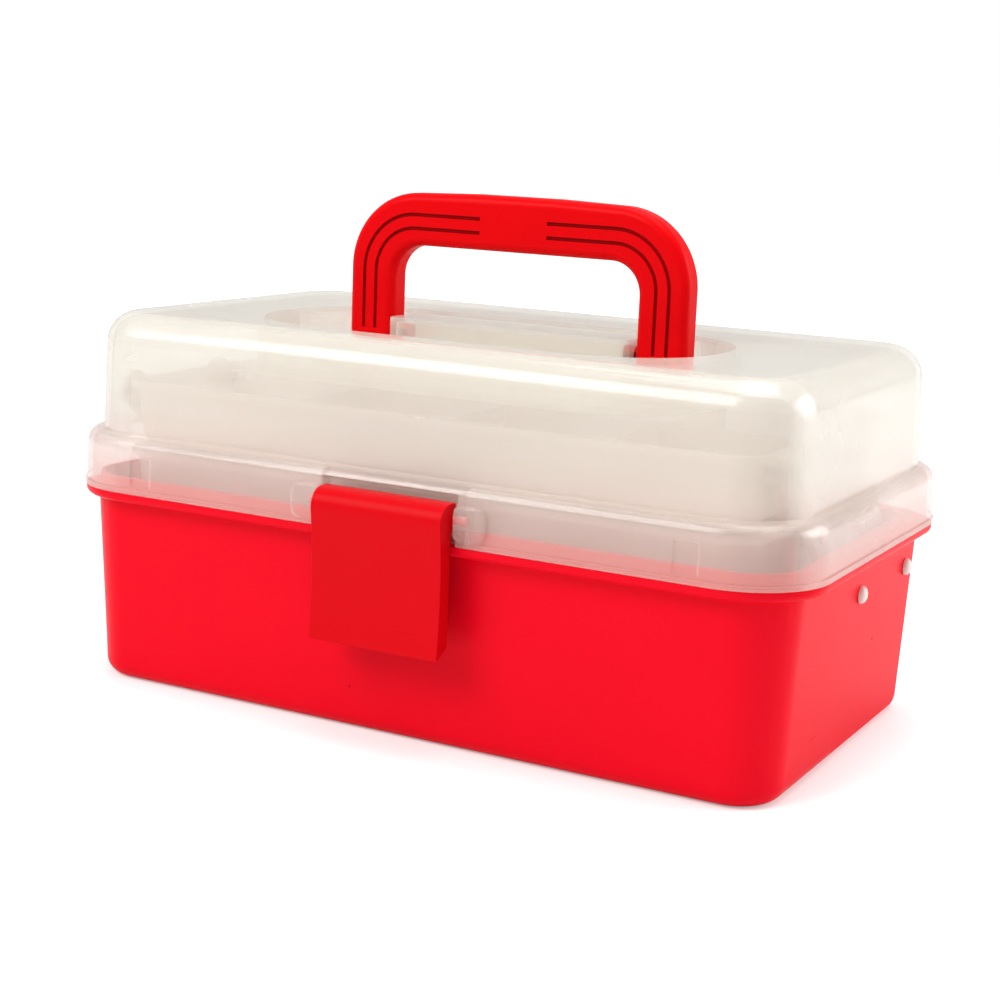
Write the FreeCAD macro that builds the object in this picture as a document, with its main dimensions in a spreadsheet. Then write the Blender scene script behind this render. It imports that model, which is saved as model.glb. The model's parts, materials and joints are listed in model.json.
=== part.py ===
import FreeCAD, Part
import math
import os
import Sketcher

V = FreeCAD.Vector
# two faces or edges that are nearer than this are in one plane
TOUCH = 0.01
doc = FreeCAD.newDocument("TieredToolBox")

# Driving dimensions, in millimetres and degrees.
# The frame: +Z up, the latch faces -Y, the lid hinge runs along X at the back,
# and the origin is the centre of the underside.
SIZES = {
    # outer size of the closed box, without the handle
    "box_length": 275,
    "box_depth": 160,
    "box_height": 130,
    # lower tub
    "tub_wall": 2.4,
    "tub_floor": 2.6,
    "foot_inset": 9,
    "mouth_inset": 6,
    "foot_corner": 16,
    "foot_round": 6,
    "rim_corner": 28,
    "rim_over_middle": 1,
    "lip_height": 3.4,
    "lip_round": 2.4,
    "tongue_height": 4.2,
    "tongue_wall": 1.6,
    "tongue_cut_back": 34,
    # shallow panel in each end wall, round the arm pins
    "panel_depth": 0.8,
    "panel_front": 11,
    "panel_margin": 18,
    "panel_under_rim": 4,
    # lid
    "seat_gap": 0.3,
    "lid_wall": 1.9,
    "bead_height": 1.8,
    "skirt_inset": 0.6,
    "skirt_draft": 0.6,
    "skirt_height": 20.1,
    "shoulder_round": 5.3,
    "wall_inset": 6.6,
    "top_draft": 1.4,
    "top_round": 11,
    "tab_x": 101,
    "tab_width": 8,
    "tab_thick": 1.6,
    "tab_low": 2.4,
    "tab_height": 10,
    # handle recess in the lid
    "recess_beside_grip": 18,
    "recess_finger_room": 6,
    "recess_back": 26,
    "recess_corner": 36,
    "recess_depth": 15.8,
    # bridge between the handle's legs
    "bridge_front": 8,
    "bridge_back": 12,
    "bridge_corner": 3,
    "bridge_gap": 0.9,
    # handle
    "grip_half_width": 66,
    "leg_width": 18.5,
    "grip_height": 17.5,
    "grip_rise": 44.5,
    "grip_thick": 11,
    "grip_outer_round": 27,
    "grip_inner_round": 11,
    "grip_edge_round": 3.4,
    "grip_arch": 1.6,
    "grip_flat": 16,
    "grip_pivot_y": 2,
    "grip_pivot_drop": 5.5,
    "grip_pin_r": 3,
    "grip_nub": 5,
    "leg_end": 5.4,
    "leg_end_flat": 0.2,
    "groove_width": 1.3,
    "groove_depth": 0.9,
    "groove_inset": 6,
    "groove_pitch": 4.8,
    "groove_end": 13,
    "groove_foot": 6,
    # latch
    "latch_half_width": 24,
    "latch_wall": 2.2,
    "latch_bow": 1.2,
    "latch_drop": 32,
    "latch_stand_off": 7.2,
    "latch_back_gap": 0.6,
    "latch_crown": 5.4,
    "latch_round": 6,
    "latch_bend_low": 1.5,
    "latch_crest": 1.2,
    "latch_hub": 2.6,
    "latch_hub_low": 4.5,
    "latch_bottom_step": 3,
    "latch_pivot_in": 0.8,
    "latch_pivot_rise": 8.6,
    "latch_pin_r": 1.5,
    "latch_pin_length": 5,
    "latch_side_gap": 1.2,
    "hook_half_width": 9,
    "hook_reach": 3.4,
    "hook_gap": 0.3,
    "hook_tip": 1.7,
    "hook_root": 6.2,
    # notch in the skirt and the two bosses that carry the latch
    "notch_depth": 4.4,
    "notch_deep": 6.4,
    "notch_step": 1.4,
    "notch_floor": 1,
    "notch_under_shoulder": 3.3,
    "boss_width": 11,
    "boss_low": 2,
    "boss_high": 13.8,
    "boss_corner": 3.5,
    "boss_proud": 1.8,
    "boss_root": 1.5,
    "boss_edge": 1.2,
    # lid hinge
    "hinge_out": 4,
    "hinge_rise": 0.6,
    "hinge_r": 3.2,
    "hinge_pin_r": 1.5,
    "hinge_from_end": 57.5,
    "hinge_knuckle": 6,
    "hinge_lid_knuckle": 11,
    "hinge_gap": 0.4,
    "hinge_web_root": 2,
    # trays
    "tray_end_room": 19.5,
    "tray_front_room": 14,
    "tray_back_room": 24,
    "tray_below_lip": 5,
    "tray_stack_gap": 2.5,
    "tray_top_room": 3.3,
    "tray_draft": 2.5,
    "tray_wall": 1.8,
    "tray_floor": 1.8,
    "tray_corner": 12,
    "tray_foot_corner": 11,
    "tray_foot_round": 3,
    "tray_lip": 1.4,
    "tray_lip_height": 2.2,
    "divider_wall": 1.6,
    "divider_drop": 3,
    "cross_drop": 3.6,
    "pivot_boss_r": 4.4,
    # arms
    "arm_lean": 28,
    "arm_from_tray_back": 4,
    "arm_from_tray_front": 13,
    "arm_below_tray": 7,
    "arm_thick": 3,
    "arm_half_width": 6,
    "arm_from_end": 15.9,
    "arm_gap": 0.4,
    "arm_pin_r": 2.1,
    "arm_pin_tip": 1.4,
    "arm_pin_head_r": 3,
    "arm_pin_head_end_r": 2,
    "arm_pin_head": 2,
    # fits
    "running_clearance": 0.05,
    "head_clearance": 0.2,
    # how far a cutting outline runs past the face that it opens
    "cut_over": 1,
}

# Places and sizes worked out from the driving dimensions
DERIVED = {
    "lip_under": "box_height / 2 + rim_over_middle",
    "lip_top": "lip_under + lip_height",
    "tongue_top": "lip_top + tongue_height",
    "tongue_back": "box_depth / 2 - tongue_cut_back",
    "skirt_bottom": "lip_top + seat_gap",
    "shoulder_top": "lip_top + skirt_height",
    "panel_top": "lip_under - panel_under_rim",
    "pin_wall_x": "box_length / 2 - foot_inset + (foot_inset - mouth_inset) * arm_base_z / lip_top - panel_depth",
    "recess_floor": "box_height - recess_depth",
    "recess_half_length": "grip_half_width + recess_beside_grip",
    "recess_front": "grip_top - grip_pivot_z - grip_pivot_y + recess_finger_room",
    "grip_top": "box_height + grip_rise",
    "grip_pivot_z": "box_height - grip_pivot_drop",
    "grip_foot": "grip_pivot_z - leg_end",
    "grip_shoulder": "grip_top - grip_arch",
    "leg_inside": "grip_half_width - leg_width",
    "latch_pivot_y": "box_depth / 2 - latch_pivot_in",
    "latch_pivot_z": "lip_top + latch_pivot_rise",
    "latch_top": "latch_pivot_z + latch_crown",
    "latch_bottom": "lip_under - latch_drop",
    "latch_front": "box_depth / 2 + latch_stand_off",
    "latch_back": "box_depth / 2 + latch_back_gap",
    "notch_half": "latch_half_width + latch_side_gap",
    "notch_back": "box_depth / 2 - notch_depth",
    "notch_deep_back": "box_depth / 2 - notch_deep",
    "notch_ledge": "tongue_top + notch_step",
    "notch_top": "shoulder_top - notch_under_shoulder",
    "hinge_y": "box_depth / 2 + hinge_out",
    "hinge_z": "lip_top + hinge_rise",
    "hinge_x": "box_length / 2 - hinge_from_end",
    "tray_half_length": "box_length / 2 - tray_end_room",
    "tray_front": "box_depth / 2 - tray_front_room",
    "tray_back": "box_depth / 2 - tray_back_room",
    "tray_bottom": "lip_under - tray_below_lip",
    "tray_pitch": "(recess_floor - lid_wall - tray_top_room - tray_bottom) / 2",
    "tray_height": "tray_pitch - tray_stack_gap",
    "arm_back_y": "tray_back - arm_from_tray_back",
    "arm_front_y": "2 * arm_lean + arm_from_tray_front - tray_front",
    "arm_base_z": "tray_bottom - arm_below_tray",
    "arm_x": "box_length / 2 - arm_from_end",
}

sheet = doc.addObject("Spreadsheet::Sheet", "Sizes")
for row, (alias, value) in enumerate(SIZES.items(), start=1):
    sheet.set("A%d" % row, alias)
    sheet.set("B%d" % row, str(value))
    sheet.setAlias("B%d" % row, alias)
doc.recompute()


def bound(expression):
    """Write every named size in an expression as a reference to the sheet."""
    words = []
    word = ""
    for letter in expression + " ":
        if letter.isalnum() or letter in "_.":
            word += letter
            continue
        if word in DERIVED:
            word = "(" + bound(DERIVED[word]) + ")"
        elif word in SIZES:
            word = "Sizes." + word
        words.append(word + letter)
        word = ""
    return "".join(words).strip()


def size(expression):
    """The present value of an expression in named sizes."""
    value = sheet.evalExpression(bound(expression))
    return float(getattr(value, "Value", value))


def bind(thing, prop, expression):
    thing.setExpression(prop, bound(expression))


# Bodies, planes and sketches

PIECES = []


def new_body(label):
    body = doc.addObject("PartDesign::Body", label)
    body.Label = label
    PIECES.append(body)
    return body


def origin_plane(body, role):
    for feature in body.Origin.OriginFeatures:
        if feature.Role == role:
            return feature
    raise ValueError(role)


def new_sketch(body, name, role="XY_Plane", offset="0"):
    """A sketch on one of the body's own planes, moved along its normal."""
    sketch = body.newObject("Sketcher::SketchObject", body.Name + "_" + name)
    sketch.AttachmentSupport = [(origin_plane(body, role), "")]
    sketch.MapMode = "FlatFace"
    if offset != "0":
        bind(sketch, "AttachmentOffset.Base.z", offset)
    doc.recompute()
    return sketch


def pin_point(sketch, geometry, position, across, along):
    """Tie one point of a sketch to two expressions."""
    for kind, expression in (("DistanceX", across), ("DistanceY", along)):
        value = size(expression)
        index = sketch.addConstraint(Sketcher.Constraint(kind, -1, 1, geometry, position, value))
        bind(sketch, "Constraints[%d]" % index, expression)


def add_radius(sketch, geometry, expression):
    index = sketch.addConstraint(Sketcher.Constraint("Radius", geometry, size(expression)))
    bind(sketch, "Constraints[%d]" % index, expression)


def add_circle(sketch, across, along, radius):
    centre = V(size(across), size(along), 0)
    geometry = sketch.addGeometry(Part.Circle(centre, V(0, 0, 1), size(radius)), False)
    pin_point(sketch, geometry, 3, across, along)
    add_radius(sketch, geometry, radius)


def add_polygon(sketch, points):
    """A closed outline of straight lines through points given as expressions."""
    spots = [V(size(across), size(along), 0) for across, along in points]
    count = len(spots)
    lines = [sketch.addGeometry(Part.LineSegment(spots[i], spots[(i + 1) % count]), False)
             for i in range(count)]
    for i, line in enumerate(lines):
        following = lines[(i + 1) % count]
        sketch.addConstraint(Sketcher.Constraint("Coincident", line, 2, following, 1))
        pin_point(sketch, line, 1, points[i][0], points[i][1])


def add_bowed(sketch, points, bows):
    """A closed outline; a side named in bows is an arc that stands off its chord by that size."""
    spots = [V(size(across), size(along), 0) for across, along in points]
    count = len(spots)
    sides = []
    for i, start in enumerate(spots):
        end = spots[(i + 1) % count]
        if i in bows:
            chord = end - start
            normal = V(-chord.y, chord.x, 0).normalize()
            middle = (start + end) / 2 + normal * size(bows[i])
            sides.append(sketch.addGeometry(Part.Arc(start, middle, end), False))
        else:
            sides.append(sketch.addGeometry(Part.LineSegment(start, end), False))
    return sides


def add_rectangle(sketch, left, right, low, high):
    add_polygon(sketch, [(left, low), (right, low), (right, high), (left, high)])


def add_rounded(sketch, left, right, low, high, radius):
    """A rectangle with four equal round corners."""
    x0, x1, y0, y1, r = size(left), size(right), size(low), size(high), size(radius)
    lines = [
        sketch.addGeometry(Part.LineSegment(V(x0 + r, y0, 0), V(x1 - r, y0, 0)), False),
        sketch.addGeometry(Part.LineSegment(V(x1, y0 + r, 0), V(x1, y1 - r, 0)), False),
        sketch.addGeometry(Part.LineSegment(V(x1 - r, y1, 0), V(x0 + r, y1, 0)), False),
        sketch.addGeometry(Part.LineSegment(V(x0, y1 - r, 0), V(x0, y0 + r, 0)), False),
    ]
    centres = [V(x1 - r, y0 + r, 0), V(x1 - r, y1 - r, 0), V(x0 + r, y1 - r, 0), V(x0 + r, y0 + r, 0)]
    arcs = []
    for i, centre in enumerate(centres):
        circle = Part.Circle(centre, V(0, 0, 1), r)
        start = (i - 1) * math.pi / 2
        arcs.append(sketch.addGeometry(Part.ArcOfCircle(circle, start, start + math.pi / 2), False))
    for i in range(4):
        sketch.addConstraint(Sketcher.Constraint("Tangent", lines[i], 2, arcs[i], 1))
        sketch.addConstraint(Sketcher.Constraint("Tangent", arcs[i], 2, lines[(i + 1) % 4], 1))
    for i in range(1, 4):
        sketch.addConstraint(Sketcher.Constraint("Equal", arcs[0], arcs[i]))
    add_radius(sketch, arcs[0], radius)
    sketch.addConstraint(Sketcher.Constraint("Horizontal", lines[0]))
    sketch.addConstraint(Sketcher.Constraint("Vertical", lines[1]))
    sketch.addConstraint(Sketcher.Constraint("Horizontal", lines[2]))
    sketch.addConstraint(Sketcher.Constraint("Vertical", lines[3]))
    for kind, line, expression in (("DistanceY", 0, low), ("DistanceX", 1, right),
                                   ("DistanceY", 2, high), ("DistanceX", 3, left)):
        index = sketch.addConstraint(Sketcher.Constraint(kind, -1, 1, lines[line], 1, size(expression)))
        bind(sketch, "Constraints[%d]" % index, expression)


def add_centred(sketch, half_x, half_y, radius):
    add_rounded(sketch, "-(%s)" % half_x, half_x, "-(%s)" % half_y, half_y, radius)


def add_capsule(sketch, start, end, radius):
    """A slot outline round two centres, in any direction."""
    a = V(size(start[0]), size(start[1]), 0)
    b = V(size(end[0]), size(end[1]), 0)
    r = size(radius)
    along = (b - a).normalize()
    side = V(-along.y, along.x, 0) * r
    turn = math.atan2(side.y, side.x)
    top = sketch.addGeometry(Part.LineSegment(a + side, b + side), False)
    low = sketch.addGeometry(Part.LineSegment(b - side, a - side), False)
    round_a = Part.ArcOfCircle(Part.Circle(a, V(0, 0, 1), r), turn, turn + math.pi)
    round_b = Part.ArcOfCircle(Part.Circle(b, V(0, 0, 1), r), turn - math.pi, turn)
    end_a = sketch.addGeometry(round_a, False)
    end_b = sketch.addGeometry(round_b, False)
    sketch.addConstraint(Sketcher.Constraint("Tangent", top, 1, end_a, 1))
    sketch.addConstraint(Sketcher.Constraint("Tangent", low, 2, end_a, 2))
    sketch.addConstraint(Sketcher.Constraint("Tangent", low, 1, end_b, 1))
    sketch.addConstraint(Sketcher.Constraint("Tangent", top, 2, end_b, 2))
    add_radius(sketch, end_a, radius)
    pin_point(sketch, end_a, 3, start[0], start[1])
    pin_point(sketch, end_b, 3, end[0], end[1])


# Features

def pad(body, sketch, length, midplane=False, taper=None):
    """Add material; a positive taper widens as it goes."""
    feature = body.newObject("PartDesign::Pad", sketch.Name + "_pad")
    feature.Profile = sketch
    bind(feature, "Length", length)
    feature.Midplane = midplane
    if taper:
        bind(feature, "TaperAngle", taper)
    doc.recompute()
    return feature


def pocket(body, sketch, length, midplane=False, reverse=False, taper=None):
    """A pocket that is checked to take material away; a negative taper narrows."""
    before = body.Shape.Volume
    feature = body.newObject("PartDesign::Pocket", sketch.Name + "_pocket")
    feature.Profile = sketch
    bind(feature, "Length", length)
    feature.Midplane = midplane
    feature.Reversed = reverse
    if taper:
        bind(feature, "TaperAngle", taper)
    doc.recompute()
    if body.Shape.Volume > before - TOUCH:
        raise RuntimeError("pocket cuts nothing: " + sketch.Name)
    return feature


def edges_where(shape, test):
    return ["Edge%d" % (i + 1) for i, edge in enumerate(shape.Edges) if test(edge)]


def flat_at(height):
    """A test for edges that lie in one level plane."""
    def test(edge):
        box = edge.BoundBox
        return abs(box.ZMin - height) < TOUCH and abs(box.ZMax - height) < TOUCH
    return test


def facing_at(depth):
    """A test for edges that lie in one upright plane along the box."""
    def test(edge):
        box = edge.BoundBox
        return abs(box.YMin - depth) < TOUCH and abs(box.YMax - depth) < TOUCH
    return test


def upright_at(across, height):
    """A test for edges across the handle, at one place left and right."""
    def test(edge):
        box = edge.BoundBox
        sideways = abs(abs(box.XMin) - across) < TOUCH and box.XMax - box.XMin < TOUCH
        return sideways and flat_at(height)(edge)
    return test


def all_of(*tests):
    return lambda edge: all(test(edge) for test in tests)


def fillet(body, test, radius):
    base = body.Tip
    names = edges_where(base.Shape, test)
    if not names:
        raise RuntimeError("no edge to round on " + body.Name)
    feature = body.newObject("PartDesign::Fillet", body.Name + "_round")
    feature.Base = (base, names)
    bind(feature, "Radius", radius)
    doc.recompute()
    return feature


def mirror(body, features, role="YZ_Plane"):
    feature = body.newObject("PartDesign::Mirrored", features[-1].Name + "_mirror")
    feature.Originals = features
    feature.MirrorPlane = (origin_plane(body, role), [""])
    body.Tip = feature
    doc.recompute()
    return feature


# Lower tub

def make_tub():
    body = new_body("base_tub")
    foot = new_sketch(body, "foot")
    add_centred(foot, "box_length / 2 - foot_inset", "box_depth / 2 - foot_inset", "foot_corner")
    draft = "atan((foot_inset - mouth_inset) / lip_top)"
    pad(body, foot, "lip_top", taper=draft)
    fillet(body, flat_at(0), "foot_round")

    lip = new_sketch(body, "lip", offset="lip_under")
    add_centred(lip, "box_length / 2 - seat_gap", "box_depth / 2 - seat_gap", "rim_corner")
    pad(body, lip, "lip_height")

    def outermost(edge):
        return all(abs(v.X) > size("box_length / 2 - mouth_inset / 2")
                   or abs(v.Y) > size("box_depth / 2 - mouth_inset / 2") for v in edge.Vertexes)

    fillet(body, all_of(flat_at(size("lip_under")), outermost), "lip_round")
    tongue = new_sketch(body, "tongue", offset="lip_top")
    spread = "mouth_inset + tub_wall - tongue_wall"
    add_centred(tongue, "box_length / 2 - (" + spread + ")", "box_depth / 2 - (" + spread + ")",
                "foot_corner + foot_inset - (" + spread + ")")
    pad(body, tongue, "tongue_height")

    opening = new_sketch(body, "opening", offset="tongue_top + cut_over")
    add_centred(opening, "box_length / 2 - mouth_inset - tub_wall", "box_depth / 2 - mouth_inset - tub_wall",
                "foot_corner - tub_wall + foot_inset - mouth_inset")
    pocket(body, opening, "tongue_top + cut_over - tub_floor", taper="-" + draft)
    fillet(body, flat_at(size("tub_floor")), "foot_round - tub_wall")

    # the tongue ends before the back, so that the trays can swing over the rim there
    back = new_sketch(body, "tongue_gap", offset="tongue_top + cut_over")
    add_rectangle(back, "-box_length", "box_length", "tongue_back", "box_depth")
    pocket(body, back, "tongue_height + cut_over")

    add_end_panels(body)
    add_arm_pivots(body)
    add_tub_knuckles(body)
    return body


def add_end_panels(body):
    """A shallow panel in each end wall, sunk along the wall's own slope."""
    panel = new_sketch(body, "end_panel", "XZ_Plane", "panel_front")
    outside = "box_length / 2"
    slope = "(foot_inset - mouth_inset) / lip_top"
    add_polygon(panel, [
        (outside, "-cut_over"),
        (outside, "panel_top"),
        (outside + " - foot_inset - panel_depth + " + slope + " * panel_top", "panel_top"),
        (outside + " - foot_inset - panel_depth", "0"),
        (outside + " - foot_inset - panel_depth", "-cut_over"),
    ])
    cut = pocket(body, panel, "panel_front + box_depth / 2 - panel_margin")
    mirror(body, [cut])


def add_arm_pivots(body):
    """Bosses inside the end walls and the holes for the arms' lowest pins."""
    root = "arm_x + arm_thick + arm_gap"
    boss = new_sketch(body, "pivot_bosses", "YZ_Plane", root)
    hole = new_sketch(body, "pivot_holes", "YZ_Plane")
    for across in ("arm_front_y", "arm_back_y"):
        add_circle(boss, across, "arm_base_z", "pivot_boss_r")
        add_circle(hole, across, "arm_base_z", "arm_pin_r")
    bosses = pad(body, boss, "pin_wall_x - tub_wall / 2 - (" + root + ")")
    mirror(body, [bosses])
    pocket(body, hole, "box_length", midplane=True)


def add_tub_knuckles(body):
    """Hinge knuckles, each on a web from the lip, two for each hinge."""
    features = []
    inner = "hinge_x - hinge_lid_knuckle / 2 - hinge_gap - hinge_knuckle"
    outer = "hinge_x + hinge_lid_knuckle / 2 + hinge_gap"
    for name, place in (("inner", inner), ("outer", outer)):
        web = new_sketch(body, "web_" + name, "YZ_Plane", place)
        add_rectangle(web, "box_depth / 2 - hinge_web_root", "hinge_y", "hinge_z - hinge_r", "lip_top")
        features.append(pad(body, web, "hinge_knuckle"))
        knuckle = new_sketch(body, "knuckle_" + name, "YZ_Plane", place)
        add_circle(knuckle, "hinge_y", "hinge_z", "hinge_r")
        features.append(pad(body, knuckle, "hinge_knuckle"))
    mirror(body, features)
    bore = new_sketch(body, "hinge_bore", "YZ_Plane")
    add_circle(bore, "hinge_y", "hinge_z", "hinge_pin_r")
    pocket(body, bore, "box_length", midplane=True)


# Lid

def lid_form(body, wall):
    """The lid's outer form, or with a wall given the space inside it."""
    def outline(name, height, inset):
        sketch = new_sketch(body, name, offset=height)
        add_centred(sketch, "box_length / 2 - " + inset, "box_depth / 2 - " + inset, "rim_corner - " + inset)
        return sketch

    skirt = outline("skirt", "skirt_bottom", "skirt_inset - " + wall)
    rise = "(shoulder_top - skirt_bottom - " + wall + ")"
    pad(body, skirt, rise, taper="-atan(skirt_draft / " + rise + ")")
    fillet(body, flat_at(size("shoulder_top - " + wall)), "shoulder_round - " + wall)
    upright = outline("wall", "shoulder_top - " + wall, "wall_inset - " + wall)
    pad(body, upright, "box_height - shoulder_top", taper="-atan(top_draft / (box_height - shoulder_top))")
    fillet(body, flat_at(size("box_height - " + wall)), "top_round - " + wall)


def make_lid():
    hollow = doc.addObject("PartDesign::Body", "lid_hollow")
    lid_form(hollow, "lid_wall")
    body = new_body("lid_shell")
    lid_form(body, "0")
    bead = new_sketch(body, "bead", offset="skirt_bottom")
    add_centred(bead, "box_length / 2", "box_depth / 2", "rim_corner")
    pad(body, bead, "bead_height")
    inside = body.newObject("PartDesign::Boolean", "lid_shell_inside")
    inside.Type = "Cut"
    inside.setObjects([hollow])
    doc.recompute()
    add_recess(body)
    add_bridge(body)
    add_skirt_tabs(body)
    add_latch_seat(body)
    add_lid_knuckles(body)
    return body


def add_recess(body):
    """The sunk tank in the top that takes the folded handle."""
    tank = new_sketch(body, "recess_outside", offset="recess_floor - lid_wall")
    add_rounded(tank, "-recess_half_length - lid_wall", "recess_half_length + lid_wall",
                "-recess_front - lid_wall", "recess_back + lid_wall", "recess_corner + lid_wall")
    pad(body, tank, "recess_depth + lid_wall / 2")
    recess = new_sketch(body, "recess_inside", offset="box_height")
    add_rounded(recess, "-recess_half_length", "recess_half_length", "-recess_front", "recess_back",
                "recess_corner")
    pocket(body, recess, "recess_depth")


def add_bridge(body):
    """A hollow bridge between the handle's legs, with the handle's pivot holes."""
    half = "leg_inside - bridge_gap"
    bridge = new_sketch(body, "bridge", offset="recess_floor - lid_wall")
    add_rounded(bridge, "-(" + half + ")", half, "-bridge_front", "bridge_back", "bridge_corner")
    pad(body, bridge, "recess_depth + lid_wall")
    core = new_sketch(body, "bridge_core", offset="recess_floor - lid_wall - cut_over")
    inner = half + " - lid_wall"
    add_rounded(core, "-(" + inner + ")", inner, "lid_wall - bridge_front", "bridge_back - lid_wall",
                "bridge_corner - lid_wall / 2")
    pocket(body, core, "recess_depth + cut_over", reverse=True)
    pivot = new_sketch(body, "grip_holes", "YZ_Plane")
    add_circle(pivot, "grip_pivot_y", "grip_pivot_z", "grip_pin_r + running_clearance")
    pocket(body, pivot, "2 * leg_inside", midplane=True)


def add_skirt_tabs(body):
    """Two small tabs inside the skirt's front, left and right."""
    tab = new_sketch(body, "skirt_tab", "XZ_Plane", "box_depth / 2 - lid_wall - skirt_inset - tab_thick")
    add_rectangle(tab, "tab_x - tab_width / 2", "tab_x + tab_width / 2", "lip_top + tab_low",
                  "lip_top + tab_low + tab_height")
    tabs = pad(body, tab, "tab_thick + lid_wall / 2")
    mirror(body, [tabs])


def add_latch_seat(body):
    """The notch for the latch with a wall round it, and the bosses that carry it."""
    boss = new_sketch(body, "latch_boss", "XZ_Plane", "box_depth / 2 - boss_root")
    add_rounded(boss, "notch_half - cut_over", "notch_half + boss_width", "lip_top + boss_low",
                "lip_top + boss_high", "boss_corner")
    bosses = pad(body, boss, "boss_root + boss_proud")
    mirror(body, [bosses])
    fillet(body, facing_at(-size("box_depth / 2 + boss_proud")), "boss_edge")

    backing = new_sketch(body, "notch_backing", "YZ_Plane")
    add_polygon(backing, [
        ("boss_root - box_depth / 2", "skirt_bottom"),
        ("lid_wall - notch_back", "skirt_bottom"),
        ("lid_wall - notch_back", "notch_ledge - notch_floor"),
        ("lid_wall - notch_deep_back", "notch_ledge - notch_floor"),
        ("lid_wall - notch_deep_back", "shoulder_top - lid_wall / 2"),
        ("-notch_back", "shoulder_top - lid_wall / 2"),
        ("boss_root - box_depth / 2", "notch_top - lid_wall / 2"),
    ])
    pad(body, backing, "2 * (notch_half + lid_wall)", midplane=True)
    notch = new_sketch(body, "notch", "YZ_Plane")
    add_polygon(notch, [
        ("-box_depth", "skirt_bottom - cut_over"),
        ("-notch_back", "skirt_bottom - cut_over"),
        ("-notch_back", "notch_ledge"),
        ("-notch_deep_back", "notch_ledge"),
        ("-notch_deep_back", "notch_top"),
        ("-box_depth", "notch_top"),
    ])
    pocket(body, notch, "2 * notch_half", midplane=True)
    bore = new_sketch(body, "latch_bore", "YZ_Plane")
    add_circle(bore, "-latch_pivot_y", "latch_pivot_z", "latch_pin_r + running_clearance")
    pocket(body, bore, "2 * (latch_half_width + latch_pin_length + running_clearance)", midplane=True)


def add_lid_knuckles(body):
    """One knuckle for each hinge at the back of the skirt."""
    place = "hinge_x - hinge_lid_knuckle / 2"
    web = new_sketch(body, "web", "YZ_Plane", place)
    add_rectangle(web, "box_depth / 2 - hinge_web_root", "hinge_y", "hinge_z + 2 * running_clearance",
                  "hinge_z + hinge_r")
    knuckle = new_sketch(body, "knuckle", "YZ_Plane", place)
    add_circle(knuckle, "hinge_y", "hinge_z", "hinge_r")
    hinges = [pad(body, web, "hinge_lid_knuckle"), pad(body, knuckle, "hinge_lid_knuckle")]
    mirror(body, hinges)
    pin = new_sketch(body, "hinge_bore", "YZ_Plane")
    add_circle(pin, "hinge_y", "hinge_z", "hinge_pin_r + running_clearance")
    pocket(body, pin, "box_length", midplane=True)


# Handle

def add_bent_groove(sketch, inset):
    """One groove of a half handle: up the leg, round the bend and along the grip."""
    low = size("grip_foot + groove_foot")
    left = size("-grip_half_width + " + inset)
    top = size("grip_shoulder - (" + inset + ")")
    radius = size("grip_outer_round - (" + inset + ")")
    width = size("groove_width")
    end = -size("groove_end")
    centre = V(left + radius, top - radius, 0)
    outer_bend = Part.Circle(centre, V(0, 0, 1), radius)
    inner_bend = Part.Circle(centre, V(0, 0, 1), radius - width)
    corners = [V(left, centre.y, 0), V(left, low, 0), V(left + width, low, 0), V(left + width, centre.y, 0)]
    ends = [V(centre.x, top, 0), V(end, top, 0), V(end, top - width, 0), V(centre.x, top - width, 0)]
    sides = [Part.LineSegment(path[i], path[i + 1]) for path in (corners, ends) for i in range(3)]
    bends = [Part.ArcOfCircle(bend, math.pi / 2, math.pi) for bend in (outer_bend, inner_bend)]
    sketch.addGeometry(sides + bends, False)


def make_handle():
    body = new_body("carry_handle")
    shape = new_sketch(body, "outline", "XZ_Plane", "-grip_pivot_y")
    add_polygon(shape, [
        ("-grip_half_width", "grip_foot"),
        ("-leg_inside", "grip_foot"),
        ("-leg_inside", "grip_shoulder - grip_height"),
        ("leg_inside", "grip_shoulder - grip_height"),
        ("leg_inside", "grip_foot"),
        ("grip_half_width", "grip_foot"),
        ("grip_half_width", "grip_shoulder"),
        ("grip_flat", "grip_top"),
        ("-grip_flat", "grip_top"),
        ("-grip_half_width", "grip_shoulder"),
    ])
    pad(body, shape, "grip_thick", midplane=True)
    fillet(body, upright_at(size("grip_half_width"), size("grip_shoulder")), "grip_outer_round")
    fillet(body, upright_at(size("leg_inside"), size("grip_shoulder - grip_height")), "grip_inner_round")

    def along_x(edge):
        return edge.BoundBox.XMax - edge.BoundBox.XMin > size("leg_end")

    # the rounded leg ends let the handle turn over the recess floor
    fillet(body, all_of(flat_at(size("grip_foot")), along_x), "leg_end - leg_end_flat")

    def rim(edge):
        box = edge.BoundBox
        flat = box.YMax - box.YMin < TOUCH
        face = abs(abs(box.YMin - size("grip_pivot_y")) - size("grip_thick / 2")) < TOUCH
        return flat and face and box.ZMax - box.ZMin + box.XMax - box.XMin > size("leg_end")

    fillet(body, rim, "grip_edge_round")
    groove = new_sketch(body, "grooves", "XZ_Plane", "grip_thick / 2 - grip_pivot_y + cut_over")
    for inset in ("groove_inset", "groove_inset + groove_pitch"):
        add_bent_groove(groove, inset)
    cut = pocket(body, groove, "groove_depth + cut_over")
    mirror(body, [cut])
    nub = new_sketch(body, "nub", "YZ_Plane", "leg_inside - grip_nub")
    add_circle(nub, "grip_pivot_y", "grip_pivot_z", "grip_pin_r")
    nubs = pad(body, nub, "2 * grip_nub")
    mirror(body, [nubs])
    return body


# Latch

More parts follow.
